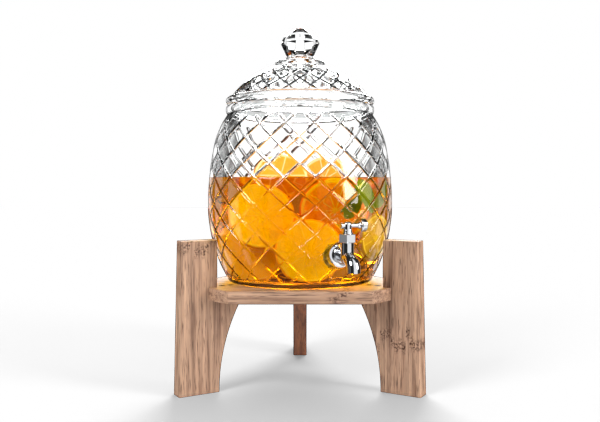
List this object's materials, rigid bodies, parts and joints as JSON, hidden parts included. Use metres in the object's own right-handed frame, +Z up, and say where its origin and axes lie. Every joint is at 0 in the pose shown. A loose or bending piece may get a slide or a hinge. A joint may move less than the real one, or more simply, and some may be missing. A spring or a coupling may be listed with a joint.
{
  "type": "glass drink dispenser",
  "caption": "Barrel-shaped cut-glass drink dispenser with a domed lid and a chrome lever tap, standing on a raised wooden stand with board legs.",
  "frame": {"origin": "on the table, under the middle of the whole object's bounding box", "axes": "+Z up, -Y to the front, +X to the right as seen from the front; one leg stands at the back on +Y, and the jar's vertical axis is at x 0, y -0.01374 m"},
  "size_m": [0.302, 0.3118, 0.4502],
  "materials": {
    "bamboo": "satin",
    "screw_steel": "satin",
    "cut_glass": "polished",
    "orange_drink": "gloss",
    "orange_flesh": "satin",
    "lemon_flesh": "satin",
    "mint": "satin",
    "chrome": "polished",
    "white_silicone": "matte",
    "black_rubber": "matte",
    "white_nylon": "satin",
    "turned_brass": "satin"
  },
  "bodies": {
    "stand": {"stand_plate": "bamboo", "leg_front_left": "bamboo", "leg_front_right": "bamboo", "leg_rear": "bamboo", "leg_screws": "screw_steel"},
    "filled_jar": {"jar": "cut_glass", "drink": "orange_drink", "orange_slices": "orange_flesh", "lemon_slices": "lemon_flesh", "mint_leaves": "mint", "tap_body": "chrome", "tap_flange": "chrome", "outer_gasket": "white_silicone", "inner_gasket": "white_silicone", "tap_nut": "white_nylon", "bonnet_nut": "chrome", "gland_washer": "white_silicone"},
    "tap_lever": {"valve_plug": "turned_brass", "plug_o_rings": "black_rubber", "spindle": "chrome", "handle_bar": "chrome", "handle_end_cap": "chrome", "handle_knob": "chrome"},
    "glass_lid": {"lid": "cut_glass", "lid_knob": "cut_glass"}
  },
  "joints": [
    {"name": "jar_lift", "type": "slide", "parent": "stand", "child": "filled_jar", "axis": [0, 0, 1], "range_m": [0, 0.09]},
    {"name": "tap_turn", "type": "hinge", "parent": "filled_jar", "child": "tap_lever", "pos_m": [0.05354, -0.13399, 0.17105], "axis": [0, 0, -1], "range_deg": [0, 90]},
    {"name": "lid_lift", "type": "slide", "parent": "filled_jar", "child": "glass_lid", "axis": [0, 0, 1], "range_m": [0, 0.12]}
  ]
}
